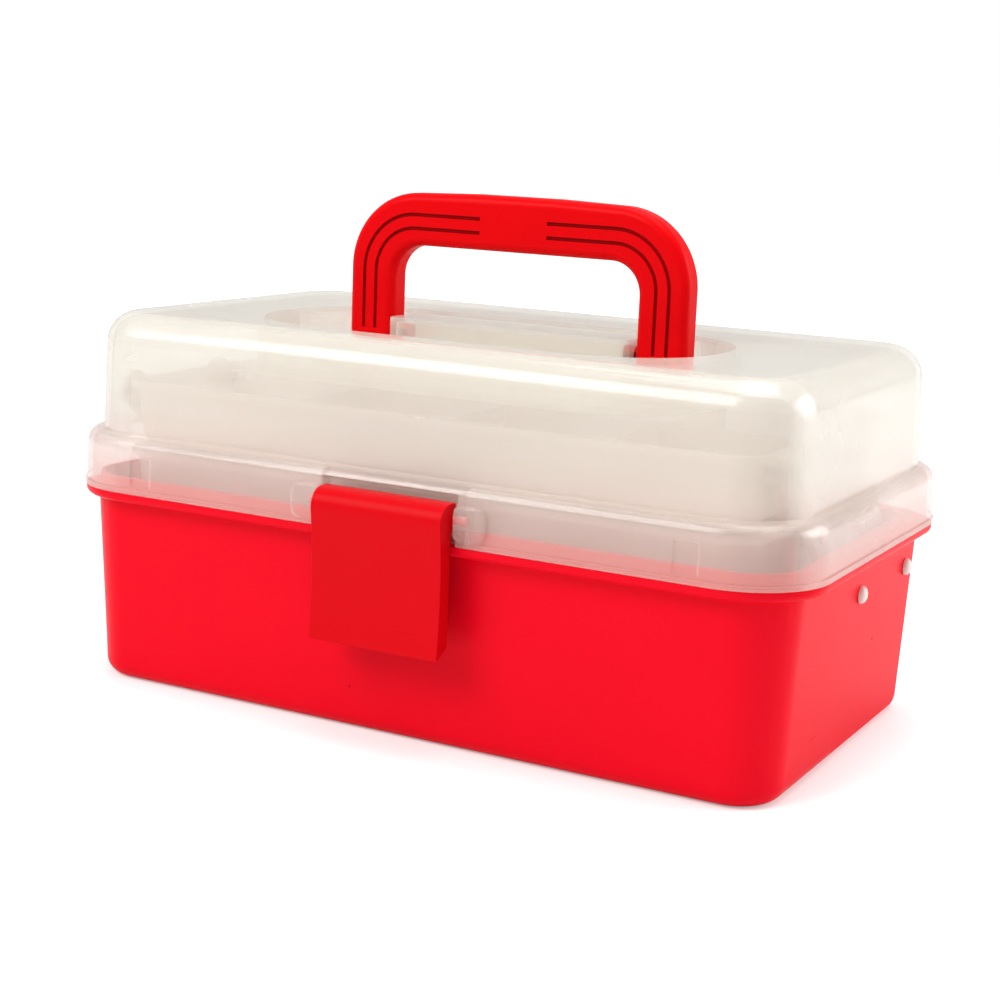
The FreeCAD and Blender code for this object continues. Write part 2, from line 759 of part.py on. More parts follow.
def make_latch():
    """A shell that curls over the skirt: a bowed plate, a round crown and two side walls."""
    body = new_body("front_latch")
    outline = new_sketch(body, "profile", "YZ_Plane")
    add_bowed(outline, [
        ("-latch_back", "latch_bottom + latch_bottom_step"),
        ("-latch_front", "latch_bottom"),
        ("-latch_front", "latch_pivot_z - latch_bend_low"),
        ("-latch_front", "latch_top"),
        ("latch_crest - latch_pivot_y", "latch_top"),
        ("latch_hub - latch_pivot_y", "latch_pivot_z"),
        ("-latch_back", "latch_pivot_z - latch_hub_low"),
    ], {1: "-latch_bow"})
    pad(body, outline, "2 * latch_half_width", midplane=True)

    def crown(edge):
        box = edge.BoundBox
        across = box.XMax - box.XMin > size("latch_half_width")
        return across and abs(box.YMin + size("latch_front")) < TOUCH

    fillet(body, all_of(flat_at(size("latch_top")), crown), "latch_round")
    inside = new_sketch(body, "inside", "YZ_Plane")
    add_bowed(inside, [
        ("-notch_deep_back", "latch_bottom - cut_over"),
        ("latch_wall - latch_front", "latch_bottom - cut_over"),
        ("latch_wall - latch_front", "latch_pivot_z - latch_bend_low"),
        ("latch_round - latch_front", "latch_top - latch_wall"),
        ("-notch_deep_back", "latch_top - latch_wall"),
    ], {1: "-latch_bow", 2: "latch_wall / 2"})
    pocket(body, inside, "2 * (latch_half_width - latch_wall)", midplane=True)

    # catch that snaps under the tub's lip
    hook = new_sketch(body, "hook", "YZ_Plane")
    add_polygon(hook, [
        ("latch_bow + latch_wall / 2 - latch_front", "lip_under - hook_gap - hook_root"),
        ("hook_reach - box_depth / 2", "lip_under - hook_gap - hook_tip"),
        ("hook_reach - box_depth / 2", "lip_under - hook_gap"),
        ("latch_bow + latch_wall / 2 - latch_front", "lip_under - hook_gap"),
    ])
    pad(body, hook, "2 * hook_half_width", midplane=True)
    pin = new_sketch(body, "pins", "YZ_Plane", "latch_half_width - latch_wall / 2")
    add_circle(pin, "-latch_pivot_y", "latch_pivot_z", "latch_pin_r")
    pins = pad(body, pin, "latch_wall / 2 + latch_pin_length")
    mirror(body, [pins])
    return body


# Trays

def make_tray(label, level):
    """One translucent tray; level counts the tiers above the tub."""
    body = new_body(label)
    rise = " + %d * tray_pitch" % (level - 1)
    low = "tray_bottom" + rise
    front = "-tray_front"
    back = "tray_back"
    foot = new_sketch(body, "foot", offset=low)
    add_rounded(foot, "tray_draft - tray_half_length", "tray_half_length - tray_draft", front + " + tray_draft",
                back + " - tray_draft", "tray_foot_corner")
    draft = "atan(tray_draft / tray_height)"
    pad(body, foot, "tray_height", taper=draft)
    fillet(body, flat_at(size(low)), "tray_foot_round")
    lip = new_sketch(body, "lip", offset=low + " + tray_height - tray_lip_height")
    add_rounded(lip, "-tray_half_length - tray_lip", "tray_half_length + tray_lip", front + " - tray_lip",
                back + " + tray_lip", "tray_corner + tray_lip")
    pad(body, lip, "tray_lip_height")
    opening = new_sketch(body, "opening", offset=low + " + tray_height + cut_over")
    add_rounded(opening, "tray_wall - tray_half_length", "tray_half_length - tray_wall",
                front + " + tray_wall", back + " - tray_wall", "tray_corner - tray_wall")
    pocket(body, opening, "tray_height + cut_over - tray_floor", taper="-" + draft)

    walls = new_sketch(body, "dividers", offset=low + " + tray_floor / 2")
    middle = "(tray_back - tray_front) / 2"
    reach = "(tray_half_length - tray_draft - tray_wall / 2)"
    add_rectangle(walls, "-" + reach, reach, middle + " - divider_wall / 2", middle + " + divider_wall / 2")
    pad(body, walls, "tray_height - divider_drop - tray_floor / 2")
    cross = new_sketch(body, "cross_walls", offset=low + " + tray_floor / 2")
    shares = (-1 / 3, 1 / 3) if level == 1 else (-0.5, 0, 0.5)
    for share in shares:
        centre = "tray_half_length * (%.4f)" % share
        add_rectangle(cross, centre + " - divider_wall / 2", centre + " + divider_wall / 2",
                      front + " + tray_draft + tray_wall / 2", back + " - tray_draft - tray_wall / 2")
    pad(body, cross, "tray_height - cross_drop - tray_floor / 2")

    # bosses and holes for the arm pins
    boss = new_sketch(body, "bosses", "YZ_Plane", "tray_half_length - tray_draft")
    hole = new_sketch(body, "pin_holes", "YZ_Plane", "tray_half_length - tray_corner")
    for pivot in ("arm_front_y", "arm_back_y"):
        across = "%s - %d * arm_lean" % (pivot, level)
        along = "arm_base_z + %d * tray_pitch" % level
        add_circle(boss, across, along, "pivot_boss_r")
        add_circle(hole, across, along, "arm_pin_r")
    bosses = pad(body, boss, "arm_x - arm_gap - tray_half_length + tray_draft")
    mirror(body, [bosses])
    cut = pocket(body, hole, "2 * tray_corner", reverse=True)
    mirror(body, [cut])
    return body


# Arms and pins

def make_arm(label, pivot, side):
    body = new_body(label)
    place = "arm_x" if side > 0 else "-arm_x - arm_thick"
    spots = [("%s - %d * arm_lean" % (pivot, tier), "arm_base_z + %d * tray_pitch" % tier)
             for tier in range(3)]
    strip = new_sketch(body, "strip", "YZ_Plane", place)
    add_capsule(strip, spots[0], spots[2], "arm_half_width")
    pad(body, strip, "arm_thick")
    holes = new_sketch(body, "holes", "YZ_Plane", place)
    for across, along in spots:
        add_circle(holes, across, along, "arm_pin_r + running_clearance")
    pocket(body, holes, "arm_thick", reverse=True)
    return body


def make_pin(label, pivot, side, tier):
    """A headed pin; tier 0 sits in the tub wall, 1 and 2 in the tray ends."""
    body = new_body(label)
    if tier == 0:
        tip = "arm_x - arm_pin_tip"
        neck = "pin_wall_x + head_clearance"
    else:
        tip = "tray_half_length - tray_draft - tray_wall"
        neck = "arm_x + arm_thick + arm_gap / 2"
    outline = new_sketch(body, "profile", "XZ_Plane")
    add_polygon(outline, [
        (tip, "0"),
        (neck + " + arm_pin_head", "0"),
        (neck + " + arm_pin_head", "arm_pin_head_end_r"),
        (neck, "arm_pin_head_r"),
        (neck, "arm_pin_r"),
        (tip, "arm_pin_r"),
    ])
    turn = body.newObject("PartDesign::Revolution", outline.Name + "_turn")
    turn.Profile = outline
    turn.ReferenceAxis = (outline, ["H_Axis"])
    turn.Angle = 360
    doc.recompute()
    across = "%s - %d * arm_lean" % (pivot, tier)
    along = "arm_base_z + %d * tray_pitch" % tier
    if side < 0:
        body.Placement = FreeCAD.Placement(V(0, 0, 0), FreeCAD.Rotation(V(0, 0, 1), 180))
    bind(body, "Placement.Base.y", across)
    bind(body, "Placement.Base.z", along)
    doc.recompute()
    return body


def make_hinge_pin(label, side):
    pin = doc.addObject("Part::Cylinder", label)
    pin.Label = label
    PIECES.append(pin)
    reach = "hinge_lid_knuckle / 2 + hinge_gap + hinge_knuckle"
    bind(pin, "Radius", "hinge_pin_r")
    bind(pin, "Height", "2 * (" + reach + ")")
    pin.Placement = FreeCAD.Placement(V(0, 0, 0), FreeCAD.Rotation(V(0, 1, 0), 90))
    bind(pin, "Placement.Base.x", "%d * hinge_x - (" % side + reach + ")")
    bind(pin, "Placement.Base.y", "hinge_y")
    bind(pin, "Placement.Base.z", "hinge_z")
    return pin


make_tub()
make_lid()
make_handle()
make_latch()
make_tray("lower_tray", 1)
make_tray("upper_tray", 2)
for side_name, side in (("left", -1), ("right", 1)):
    make_hinge_pin("hinge_pin_" + side_name, side)
    for row_name, pivot in (("front", "arm_front_y"), ("rear", "arm_back_y")):
        place = row_name + "_" + side_name
        make_arm("arm_" + place, pivot, side)
        for tier, level_name in enumerate(("base", "lower", "upper")):
            make_pin(level_name + "_pin_" + place, pivot, side, tier)
doc.recompute()

# Nothing is written unless every object is sound.
for thing in doc.Objects:
    if "Invalid" in thing.State or "Error" in thing.State:
        raise RuntimeError("failed object: " + thing.Label)
for piece in PIECES:
    shape = piece.Shape
    if shape.isNull() or not shape.isValid() or not shape.Solids:
        raise RuntimeError("unsound piece: " + piece.Label)

os.makedirs("parts", exist_ok=True)
for piece in PIECES:
    piece.Shape.exportStep("parts/%s.step" % piece.Label)
    print(piece.Label, len(piece.Shape.Solids), round(piece.Shape.Volume, 1))
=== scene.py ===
import json
import math

import bmesh
import bpy
from mathutils import Matrix, Vector

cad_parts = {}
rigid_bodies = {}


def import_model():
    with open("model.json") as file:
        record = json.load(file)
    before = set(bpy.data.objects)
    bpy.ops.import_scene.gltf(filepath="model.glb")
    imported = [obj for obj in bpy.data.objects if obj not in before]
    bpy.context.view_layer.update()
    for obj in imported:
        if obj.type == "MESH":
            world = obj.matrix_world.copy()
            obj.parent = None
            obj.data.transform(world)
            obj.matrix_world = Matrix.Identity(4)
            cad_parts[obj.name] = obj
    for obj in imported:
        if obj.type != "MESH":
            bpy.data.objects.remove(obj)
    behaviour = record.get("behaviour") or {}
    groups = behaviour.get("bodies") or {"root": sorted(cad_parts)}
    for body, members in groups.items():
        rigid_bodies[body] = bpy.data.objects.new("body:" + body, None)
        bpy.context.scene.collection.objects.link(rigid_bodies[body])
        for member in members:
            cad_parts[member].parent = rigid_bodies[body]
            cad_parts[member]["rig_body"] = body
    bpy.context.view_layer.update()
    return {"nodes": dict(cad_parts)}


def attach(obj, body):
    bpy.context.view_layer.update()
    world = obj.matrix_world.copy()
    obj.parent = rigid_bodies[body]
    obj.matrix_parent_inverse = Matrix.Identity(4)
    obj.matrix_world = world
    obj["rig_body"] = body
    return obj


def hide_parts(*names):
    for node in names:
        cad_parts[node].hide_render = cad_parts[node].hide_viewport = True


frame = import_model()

bl_info = {
    "name": "Tiered Tool Box",
    "version": (1, 0, 0),
    "blender": (4, 5, 0),
    "location": "3D View > Sidebar > Tool Box",
    "description": "Finishes the pieces of a plastic tool box with a clear lid and two swinging trays",
    "category": "Object",
}

MM = 0.001

# how a CAD mesh is cleaned and its edges are softened
MERGE_GAP = 0.002 * MM
FLAT_ANGLE = math.radians(0.4)
EDGE_ANGLE = math.radians(32)
EDGE_SEGMENTS = 2
FACE_WEIGHT = 50

# relief of the moulded grain, and how a clear wall gets denser at a slant
RELIEF_HEIGHT = 0.05 * MM
SLANT_BLEND = 0.5
SLANT_POWER = 2.0
SLANT_DENSITY = 0.35

# the turned arm pins
DOME_STEPS = 14
AXIS_RADIUS = 0.001 * MM
PIN_MERGE_GAP = 0.01 * MM
PIN_EDGE_ANGLE = math.radians(35)


# Settings that a user may change

class ToolBoxFinish(bpy.types.PropertyGroup):
    """Colours and surface scales of the moulded pieces."""

    tub_red: bpy.props.FloatVectorProperty(
        name="Tub red", description="Colour of the tub", subtype="COLOR", size=4,
        default=(0.80, 0.0025, 0.015, 1.0))
    handle_red: bpy.props.FloatVectorProperty(
        name="Handle red", description="Colour of the carry handle", subtype="COLOR", size=4,
        default=(0.74, 0.0008, 0.003, 1.0))
    latch_red: bpy.props.FloatVectorProperty(
        name="Latch red", description="Colour of the front latch", subtype="COLOR", size=4,
        default=(0.65, 0.0015, 0.006, 1.0))
    lid_milk: bpy.props.FloatVectorProperty(
        name="Lid milk", description="Colour of the clear lid", subtype="COLOR", size=4,
        default=(0.91, 0.88, 0.79, 1.0))
    # partly painted light: the trays and arms are milky white, and the pink in this colour stands in for red
    # light bounced up from the tub
    tray_milk_and_painted_glow: bpy.props.FloatVectorProperty(
        name="Tray milk", description="Colour of the clear trays and arms", subtype="COLOR", size=4,
        default=(0.96, 0.84, 0.78, 1.0))
    # partly painted light: the pins are milky white, and the pink in this colour stands in for red light from
    # the red wall under them
    pin_milk_and_painted_glow: bpy.props.FloatVectorProperty(
        name="Pin milk", description="Colour of the arm pins", subtype="COLOR", size=4,
        default=(0.96, 0.84, 0.79, 1.0))
    peel_scale: bpy.props.FloatProperty(
        name="Peel scale", description="Waves of the moulded surface in one metre", default=420.0, min=10.0)
    scuff_scale: bpy.props.FloatProperty(
        name="Scuff scale", description="Fine scuffs in one metre", default=900.0, min=10.0)
    speck_scale: bpy.props.FloatProperty(
        name="Speck scale", description="Cells of the dust specks in one metre", default=70.0, min=1.0)


class ToolBoxSizes(bpy.types.PropertyGroup):
    """Sizes of the softened edges and of the arm pins."""

    edge: bpy.props.FloatProperty(
        name="Edge", description="Softening of a moulded edge", default=0.45 * MM, min=0.0,
        subtype="DISTANCE", unit="LENGTH")
    fine_edge: bpy.props.FloatProperty(
        name="Fine edge", description="Softening of an edge on a small piece", default=0.25 * MM, min=0.0,
        subtype="DISTANCE", unit="LENGTH")
    shaft_radius: bpy.props.FloatProperty(
        name="Pin shaft radius", description="Radius of an arm pin's shaft", default=2.1 * MM, min=0.0,
        subtype="DISTANCE", unit="LENGTH")
    head_height: bpy.props.FloatProperty(
        name="Pin head height", description="Height of an arm pin's domed head", default=2.0 * MM, min=0.0,
        subtype="DISTANCE", unit="LENGTH")
    # depth at which the painted shade in the grip grooves begins
    groove_shade_depth: bpy.props.FloatProperty(
        name="Groove depth", description="Depth at which a grip groove begins to darken", default=0.35 * MM,
        min=0.0, subtype="DISTANCE", unit="LENGTH")


# Shader node groups

def new_group(name, inputs, outputs):
    """An empty shader group with named sockets: (name, type, default) and (name, type)."""
    group = bpy.data.node_groups.new(name, "ShaderNodeTree")
    for socket_name, kind, default in inputs:
        socket = group.interface.new_socket(socket_name, in_out="INPUT", socket_type=kind)
        socket.default_value = default
    for socket_name, kind in outputs:
        group.interface.new_socket(socket_name, in_out="OUTPUT", socket_type=kind)
    source = group.nodes.new("NodeGroupInput")
    sink = group.nodes.new("NodeGroupOutput")
    return group, source, sink


def feed(tree, item, socket):
    """Links a socket, or sets a plain number."""
    if isinstance(item, (int, float)):
        socket.default_value = item
    else:
        tree.links.new(item, socket)


def noise(tree, vector, scale, detail, seed):
    """Noise between 0 and 1; the seed moves it along the fourth axis."""
    node = tree.nodes.new("ShaderNodeTexNoise")
    node.noise_dimensions = "4D"
    node.inputs["Detail"].default_value = detail
    feed(tree, seed, node.inputs["W"])
    feed(tree, scale, node.inputs["Scale"])
    tree.links.new(vector, node.inputs["Vector"])
    return node.outputs["Fac"]


def ramp(tree, value, low, high, out_low=0.0, out_high=1.0):
    """A smooth step of the value from low to high, mapped to the two outputs."""
    node = tree.nodes.new("ShaderNodeMapRange")
    node.interpolation_type = "SMOOTHSTEP"
    for name, item in (("From Min", low), ("From Max", high), ("To Min", out_low), ("To Max", out_high)):
        feed(tree, item, node.inputs[name])
    tree.links.new(value, node.inputs["Value"])
    return node.outputs["Result"]


def math_node(tree, operation, *items):
    """The result of one math operation on sockets or plain numbers."""
    node = tree.nodes.new("ShaderNodeMath")
    node.operation = operation
    for socket, item in zip(node.inputs, items):
        feed(tree, item, socket)
    return node.outputs["Value"]


def place_of(tree, output="Object"):
    """A texture coordinate, by default the place in the piece's own frame."""
    return tree.nodes.new("ShaderNodeTexCoord").outputs[output]


def scaled(tree, vector, scale, turn=(0.0, 0.0, 0.0)):
    """A vector scaled along each axis and turned."""
    node = tree.nodes.new("ShaderNodeMapping")
    node.inputs["Scale"].default_value = scale
    node.inputs["Rotation"].default_value = turn
    tree.links.new(vector, node.inputs["Vector"])
    return node.outputs["Vector"]


def tinted(tree, colour, value):
    """A colour made lighter or darker by the value."""
    node = tree.nodes.new("ShaderNodeHueSaturation")
    feed(tree, value, node.inputs["Value"])
    tree.links.new(colour, node.inputs["Color"])
    return node.outputs["Color"]


def moulded_group():
    """Flow shade, gloss changes, fine scuffs, dust specks and orange peel of a moulding."""
    name = "Moulded surface"
    if name in bpy.data.node_groups:
        return bpy.data.node_groups[name]
    group, source, sink = new_group(
        name,
        [("Colour", "NodeSocketColor", (0.8, 0.0, 0.0, 1.0)),
         ("Shade", "NodeSocketFloat", 0.06),
         ("Gloss", "NodeSocketFloat", 0.22),
         ("Gloss change", "NodeSocketFloat", 0.08),
         ("Scuff", "NodeSocketFloat", 0.25),
         ("Speck", "NodeSocketFloat", 0.3),
         ("Peel scale", "NodeSocketFloat", 420.0),
         ("Scuff scale", "NodeSocketFloat", 900.0),
         ("Speck scale", "NodeSocketFloat", 70.0),
         ("Seed", "NodeSocketFloat", 0.0)],
        [("Colour", "NodeSocketColor"), ("Roughness", "NodeSocketFloat"), ("Height", "NodeSocketFloat")])
    values = source.outputs
    place = place_of(group)

    def seeded(offset):
        return math_node(group, "ADD", values["Seed"], offset)

    flow = noise(group, place, scale=9.0, detail=3.0, seed=seeded(1.3))
    cloud = noise(group, place, scale=38.0, detail=4.0, seed=seeded(4.1))
    peel = noise(group, place, scale=values["Peel scale"], detail=2.0, seed=seeded(7.7))

    # long hair-like scuffs in a few patches
    along = scaled(group, place, scale=(0.06, 0.06, 1.0), turn=(0.2, 0.35, 0.5))
    hair = noise(group, along, scale=values["Scuff scale"], detail=1.0, seed=seeded(11.9))
    hair = ramp(group, hair, low=0.66, high=0.72)
    patch = noise(group, place, scale=22.0, detail=2.0, seed=seeded(17.0))
    patch = ramp(group, patch, low=0.50, high=0.66)
    scuffs = math_node(group, "MULTIPLY", hair, patch)
    scuffs = math_node(group, "MULTIPLY", scuffs, values["Scuff"])

    # a few specks of dust, each smaller than a millimetre
    cells = group.nodes.new("ShaderNodeTexVoronoi")
    group.links.new(values["Speck scale"], cells.inputs["Scale"])
    group.links.new(place, cells.inputs["Vector"])
    specks = ramp(group, cells.outputs["Distance"], low=0.02, high=0.05, out_low=1.0, out_high=0.0)
    few = noise(group, place, scale=30.0, detail=0.0, seed=seeded(23.0))
    few = ramp(group, few, low=0.55, high=0.60)
    specks = math_node(group, "MULTIPLY", specks, few)
    specks = math_node(group, "MULTIPLY", specks, values["Speck"])

    # the colour is a little deeper where the melt flowed last
    shade = math_node(group, "ADD", flow, cloud)
    shade = math_node(group, "SUBTRACT", shade, 1.0)
    shade = math_node(group, "MULTIPLY", shade, values["Shade"])
    shade = math_node(group, "ADD", shade, 1.0)
    shade = math_node(group, "SUBTRACT", shade, specks)
    group.links.new(tinted(group, values["Colour"], shade), sink.inputs["Colour"])

    rough = math_node(group, "SUBTRACT", cloud, 0.5)
    rough = math_node(group, "MULTIPLY", rough, values["Gloss change"])
    rough = math_node(group, "ADD", rough, values["Gloss"])
    rough = math_node(group, "ADD", rough, scuffs)
    rough = math_node(group, "ADD", rough, specks)
    group.links.new(rough, sink.inputs["Roughness"])

    height = math_node(group, "SUBTRACT", peel, math_node(group, "MULTIPLY", scuffs, 0.5))
    group.links.new(height, sink.inputs["Height"])
    return group


def painted_groove_shade_group():
    """Paints shade on the floors of grooves cut into two faces that look along Y, darkening them where shade
    falls.
    """
    name = "Groove floors"
    if name in bpy.data.node_groups:
        return bpy.data.node_groups[name]
    group, source, sink = new_group(
        name,
        [("Colour", "NodeSocketColor", (0.8, 0.0, 0.0, 1.0)),
         ("Face front", "NodeSocketFloat", 0.0),
         ("Face back", "NodeSocketFloat", 0.01),
         ("Depth", "NodeSocketFloat", 0.0003),
         ("Shade strength", "NodeSocketFloat", 0.6)],
        [("Colour", "NodeSocketColor")])
    values = source.outputs
    split = group.nodes.new("ShaderNodeSeparateXYZ")
    group.links.new(place_of(group), split.inputs["Vector"])
    facing = group.nodes.new("ShaderNodeSeparateXYZ")
    group.links.new(place_of(group, "Normal"), facing.inputs["Vector"])
    from_front = math_node(group, "SUBTRACT", split.outputs["Y"], values["Face front"])
    from_back = math_node(group, "SUBTRACT", values["Face back"], split.outputs["Y"])
    depth = math_node(group, "MINIMUM", from_front, from_back)
    deeper = math_node(group, "MULTIPLY", values["Depth"], 1.6)
    sunk = ramp(group, depth, low=values["Depth"], high=deeper)
    flat = ramp(group, math_node(group, "ABSOLUTE", facing.outputs["Y"]), low=0.93, high=0.97)
    floor = math_node(group, "MULTIPLY", sunk, flat)
    # painted shade: the groove floors are made darker where shade falls in them
    dark = math_node(group, "MULTIPLY", floor, values["Shade strength"])
    light = math_node(group, "SUBTRACT", 1.0, dark)
    group.links.new(tinted(group, values["Colour"], light), sink.inputs["Colour"])
    return group


def density_group():
    """A milky wall's opacity and colour.

    It is clearer below a height, dense in its thick rim, faintly clouded, and tinted pink towards the rim, a
    painted glow that stands in for red light thrown up by the tub.
    """
    name = "Milk density"
    if name in bpy.data.node_groups:
        return bpy.data.node_groups[name]
    group, source, sink = new_group(
        name,
        [("Below", "NodeSocketFloat", 0.3),
         ("Above", "NodeSocketFloat", 0.5),
         ("Height", "NodeSocketFloat", 0.084),
         ("Blend", "NodeSocketFloat", 0.006),
         ("Rim", "NodeSocketFloat", 0.0),
         ("Rim height", "NodeSocketFloat", 0.069),
         ("Rim blend", "NodeSocketFloat", 0.0008),
         ("Clouds", "NodeSocketFloat", 0.1),
         ("Colour", "NodeSocketColor", (0.9, 0.9, 0.8, 1.0)),
         ("Painted glow tint", "NodeSocketColor", (0.96, 0.62, 0.56, 1.0)),
         ("Painted glow", "NodeSocketFloat", 0.0),
         ("Painted glow height", "NodeSocketFloat", 0.104)],
        [("Alpha", "NodeSocketFloat"), ("Colour", "NodeSocketColor")])
    values = source.outputs
    place = place_of(group)
    split = group.nodes.new("ShaderNodeSeparateXYZ")
    group.links.new(place, split.inputs["Vector"])
    top = math_node(group, "ADD", values["Height"], values["Blend"])
    level = ramp(group, split.outputs["Z"], low=values["Height"], high=top,
                 out_low=values["Below"], out_high=values["Above"])
    rim_top = math_node(group, "ADD", values["Rim height"], values["Rim blend"])
    rim = ramp(group, split.outputs["Z"], low=values["Rim height"], high=rim_top,
               out_low=values["Rim"], out_high=0.0)
    level = math_node(group, "ADD", level, rim)
    cloud = noise(group, place, scale=26.0, detail=3.0, seed=5.5)
    cloud = math_node(group, "SUBTRACT", cloud, 0.5)
    cloud = math_node(group, "MULTIPLY", cloud, values["Clouds"])
    group.links.new(math_node(group, "ADD", level, cloud), sink.inputs["Alpha"])
    # painted red glow: towards the rim the colour turns to the pink tint, standing in for red light thrown up
    # by the tub
    glow_share = ramp(group, split.outputs["Z"], low=values["Rim height"], high=values["Painted glow height"],
                  out_low=values["Painted glow"], out_high=0.0)
    warm = group.nodes.new("ShaderNodeMix")
    warm.data_type = "RGBA"
    group.links.new(glow_share, warm.inputs["Factor"])
    group.links.new(values["Colour"], warm.inputs["A"])
    group.links.new(values["Painted glow tint"], warm.inputs["B"])
    group.links.new(warm.outputs["Result"], sink.inputs["Colour"])
    return group


# Materials

def moulded_material(name, colour, gloss, bump, seed, shade=0.06, scuff=0.2, speck=0.3, **shader_values):
    """One moulded plastic; the grain comes from the shared group and the rest is set on the shader.

    The keys of shader_values are the shader's socket names, with underscores for spaces.
    """
    finish = bpy.context.scene.tool_box_finish
    material = bpy.data.materials.new(name)
    material.use_nodes = True
    tree = material.node_tree
    shader = tree.nodes["Principled BSDF"]
    grain = tree.nodes.new("ShaderNodeGroup")
    grain.name = "grain"
    grain.node_tree = moulded_group()
    values = {"Colour": colour, "Gloss": gloss, "Seed": seed, "Shade": shade, "Scuff": scuff, "Speck": speck,
              "Peel scale": finish.peel_scale, "Scuff scale": finish.scuff_scale,
              "Speck scale": finish.speck_scale}
    for key, value in values.items():
        grain.inputs[key].default_value = value
    tree.links.new(grain.outputs["Colour"], shader.inputs["Base Color"])
    tree.links.new(grain.outputs["Roughness"], shader.inputs["Roughness"])
    relief = tree.nodes.new("ShaderNodeBump")
    relief.inputs["Strength"].default_value = bump
    relief.inputs["Distance"].default_value = RELIEF_HEIGHT
    tree.links.new(grain.outputs["Height"], relief.inputs["Height"])
    tree.links.new(relief.outputs["Normal"], shader.inputs["Normal"])
    for key, value in shader_values.items():
        shader.inputs[key.replace("_", " ")].default_value = value
    return material


def paint_groove_shade(material, node):
    """Puts the painted groove shade between the grain and the shader; the faces are those of the CAD node."""
    tree = material.node_tree
    depths = [corner[1] for corner in frame["nodes"][node].bound_box]
    grooves = tree.nodes.new("ShaderNodeGroup")
    grooves.node_tree = painted_groove_shade_group()
    grooves.inputs["Face front"].default_value = min(depths)
    grooves.inputs["Face back"].default_value = max(depths)
    grooves.inputs["Depth"].default_value = bpy.context.scene.tool_box_sizes.groove_shade_depth
    tree.links.new(tree.nodes["grain"].outputs["Colour"], grooves.inputs["Colour"])
    tree.links.new(grooves.outputs["Colour"], tree.nodes["Principled BSDF"].inputs["Base Color"])


def wire_material(name):
    """Drawn steel wire with fine rings of wear."""
    material = bpy.data.materials.new(name)
    material.use_nodes = True
    tree = material.node_tree
    shader = tree.nodes["Principled BSDF"]
    around = scaled(tree, place_of(tree), scale=(1.0, 0.05, 0.05))
    lines = noise(tree, around, scale=2500.0, detail=2.0, seed=3.0)
    rough = ramp(tree, lines, low=0.3, high=0.7, out_low=0.22, out_high=0.42)
    tree.links.new(rough, shader.inputs["Roughness"])
    colours = tree.nodes.new("ShaderNodeMix")
    colours.data_type = "RGBA"
    colours.inputs["A"].default_value = (0.50, 0.50, 0.52, 1.0)
    colours.inputs["B"].default_value = (0.68, 0.68, 0.69, 1.0)
    tree.links.new(lines, colours.inputs["Factor"])
    tree.links.new(colours.outputs["Result"], shader.inputs["Base Color"])
    shader.inputs["Metallic"].default_value = 1.0
    return material


def clear_plastic(name, colour, gloss, seed, density, **shader_values):
    """Milky plastic that lets light and shapes through; density holds the opacity group's values.

    A wall seen along its face is thicker for the eye, so it gets denser there.
    """
    material = moulded_material(name, colour, gloss=gloss, bump=0.10, seed=seed, shade=0.03, scuff=0.10,
                                speck=0.05, **shader_values)
    tree = material.node_tree
    milk = tree.nodes.new("ShaderNodeGroup")
    milk.node_tree = density_group()
    for key, value in density.items():
        milk.inputs[key].default_value = value
    slant = tree.nodes.new("ShaderNodeLayerWeight")
    slant.inputs["Blend"].default_value = SLANT_BLEND
    thick = math_node(tree, "POWER", slant.outputs["Facing"], SLANT_POWER)
    thick = math_node(tree, "MULTIPLY", thick, SLANT_DENSITY)
    alpha = math_node(tree, "ADD", milk.outputs["Alpha"], thick)
    shader = tree.nodes["Principled BSDF"]
    tree.links.new(alpha, shader.inputs["Alpha"])
    tree.links.new(tree.nodes["grain"].outputs["Colour"], milk.inputs["Colour"])
    tree.links.new(milk.outputs["Colour"], shader.inputs["Base Color"])
    return material


# Finishing a CAD piece

def settle(piece, node_names):
    """Puts a finished piece on its CAD nodes' body and in their place."""
    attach(piece, frame["nodes"][node_names[0]]["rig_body"])
    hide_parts(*node_names)


def soften(node, name, material, edge):
    """Makes a smooth, edge-softened copy of a CAD node, on the node's own body."""
    mesh = frame["nodes"][node].data.copy()
    mesh.name = name
    shape = bmesh.new()
    shape.from_mesh(mesh)
    bmesh.ops.remove_doubles(shape, verts=shape.verts, dist=MERGE_GAP)
    bmesh.ops.dissolve_limit(shape, angle_limit=FLAT_ANGLE, verts=shape.verts, edges=shape.edges)
    shape.to_mesh(mesh)
    shape.free()
    mesh.materials.clear()
    mesh.materials.append(material)
    piece = bpy.data.objects.new(name, mesh)
    bpy.context.scene.collection.objects.link(piece)
    for face in mesh.polygons:
        face.use_smooth = True
    bevel = piece.modifiers.new("softened edges", "BEVEL")
    bevel.width = edge
    bevel.segments = EDGE_SEGMENTS
    bevel.limit_method = "ANGLE"
    bevel.angle_limit = EDGE_ANGLE
    bevel.use_clamp_overlap = True
    weighted = piece.modifiers.new("flat faces stay flat", "WEIGHTED_NORMAL")
    weighted.mode = "FACE_AREA"
    weighted.weight = FACE_WEIGHT
    weighted.keep_sharp = True
    settle(piece, [node])


# Arm pins, turned by a node tree

